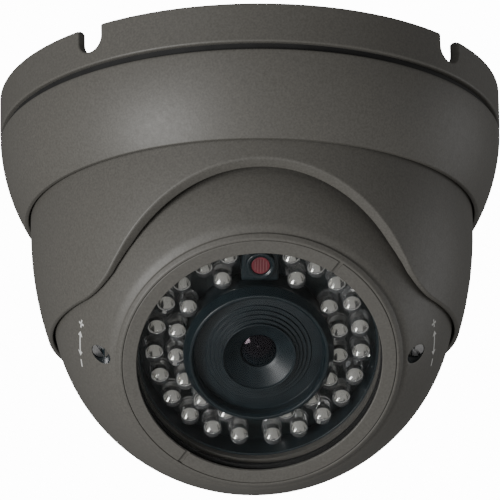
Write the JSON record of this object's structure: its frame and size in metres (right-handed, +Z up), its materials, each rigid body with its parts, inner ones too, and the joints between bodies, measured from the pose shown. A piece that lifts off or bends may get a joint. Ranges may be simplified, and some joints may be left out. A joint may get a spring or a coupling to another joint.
{
  "type": "dome cctv camera",
  "caption": "Ceiling-mounted eyeball security camera with panning shroud, tilting lamp-ringed varifocal lens and geared focus and zoom adjusters.",
  "frame": {"origin": "centre of the base's ceiling face", "axes": "+Z up into the ceiling, -Y the way the lens looks, +X to the right seen from the front"},
  "size_m": [0.14, 0.14, 0.1139],
  "materials": {
    "powder_coat": "dark grey-bronze textured powder coat",
    "rubber": "matt black",
    "black_plastic": "fine matt",
    "nylon": "natural nylon",
    "circuit_board": "green solder mask",
    "steel": "zinc plated",
    "aluminium": "plain",
    "black_anodised": "black anodised",
    "clear_glass": "polished",
    "lamp_epoxy": "clear moulded",
    "coated_lens": "coated",
    "photocell": "light-dependent resistor",
    "silicon": "sensor face"
  },
  "bodies": {
    "base": {"mounting_base": "powder_coat", "base_gasket": "rubber", "cable_grommet": "rubber", "cover_seal": "rubber", "cover": "powder_coat", "lock_screw": "steel", "pan_slip_ring": "nylon", "pan_retainer": "aluminium", "retainer_screws": "steel"},
    "shroud": {"shroud": "powder_coat"},
    "eyeball": {"ball_front_shell": "powder_coat", "ball_rear_shell": "powder_coat", "shell_gasket": "rubber", "shell_screws": "steel", "ball_gland": "rubber", "pivot_pins": "steel", "pivot_washers": "nylon", "bezel_ring": "powder_coat", "front_glass": "clear_glass", "glass_gasket": "rubber", "lamp_board": "circuit_board", "lamp_skirt": "black_plastic", "lamps_outer": "lamp_epoxy", "lamps_inner": "lamp_epoxy", "sensor_holder": "black_plastic", "light_sensor": "photocell", "lens_sleeve": "black_plastic", "lens_nose": "black_anodised", "front_lens": "coated_lens", "lens_barrel": "black_anodised", "rear_lens": "coated_lens", "ring_spacer": "black_anodised", "lens_mount": "black_plastic", "image_sensor": "silicon", "sensor_board": "circuit_board", "processor_board": "circuit_board", "board_spacers": "steel", "board_screws": "steel", "gear_bracket": "steel", "bracket_standoffs": "steel", "bracket_screws": "steel", "idler_clips": "steel"},
    "focus_ring": {"focus_ring": "black_anodised"},
    "focus_idler": {"focus_idler": "nylon"},
    "focus_spindle": {"focus_spindle": "steel"},
    "zoom_ring": {"zoom_ring": "black_anodised"},
    "zoom_idler": {"zoom_idler": "nylon"},
    "zoom_spindle": {"zoom_spindle": "steel"}
  },
  "joints": [
    {"name": "pan", "type": "hinge", "parent": "base", "child": "shroud", "pos_m": [0, 0, 0], "axis": [0, 0, 1], "range_deg": [-175, 175]},
    {"name": "tilt", "type": "hinge", "parent": "shroud", "child": "eyeball", "pos_m": [0, 0, -0.05785], "axis": [1, 0, 0], "range_deg": [-17, 43]},
    {"name": "focus_ring_turn", "type": "hinge", "parent": "eyeball", "child": "focus_ring", "pos_m": [0, -0.0075, -0.06589], "axis": [0, -0.682, -0.7314], "range_deg": [-50, 50]},
    {"name": "focus_idler_turn", "type": "hinge", "parent": "eyeball", "child": "focus_idler", "pos_m": [-0.02925, -0.0075, -0.06589], "axis": [0, -0.682, -0.7314], "range_deg": [-130, 130]},
    {"name": "focus_spindle_turn", "type": "hinge", "parent": "eyeball", "child": "focus_spindle", "pos_m": [-0.04275, -0.0075, -0.06589], "axis": [0, -0.682, -0.7314], "range_deg": [-200, 200]},
    {"name": "zoom_ring_turn", "type": "hinge", "parent": "eyeball", "child": "zoom_ring", "pos_m": [0, -0.00205, -0.06004], "axis": [0, -0.682, -0.7314], "range_deg": [-40, 40]},
    {"name": "zoom_idler_turn", "type": "hinge", "parent": "eyeball", "child": "zoom_idler", "pos_m": [0.02925, -0.00205, -0.06004], "axis": [0, -0.682, -0.7314], "range_deg": [-105, 105]},
    {"name": "zoom_spindle_turn", "type": "hinge", "parent": "eyeball", "child": "zoom_spindle", "pos_m": [0.04275, -0.00205, -0.06004], "axis": [0, -0.682, -0.7314], "range_deg": [-160, 160]}
  ],
  "couplings": [
    {"joint": "focus_idler_turn", "follows": "focus_ring_turn", "ratio": -2.5455},
    {"joint": "focus_spindle_turn", "follows": "focus_ring_turn", "ratio": 4},
    {"joint": "zoom_idler_turn", "follows": "zoom_ring_turn", "ratio": -2.5455},
    {"joint": "zoom_spindle_turn", "follows": "zoom_ring_turn", "ratio": 4}
  ]
}
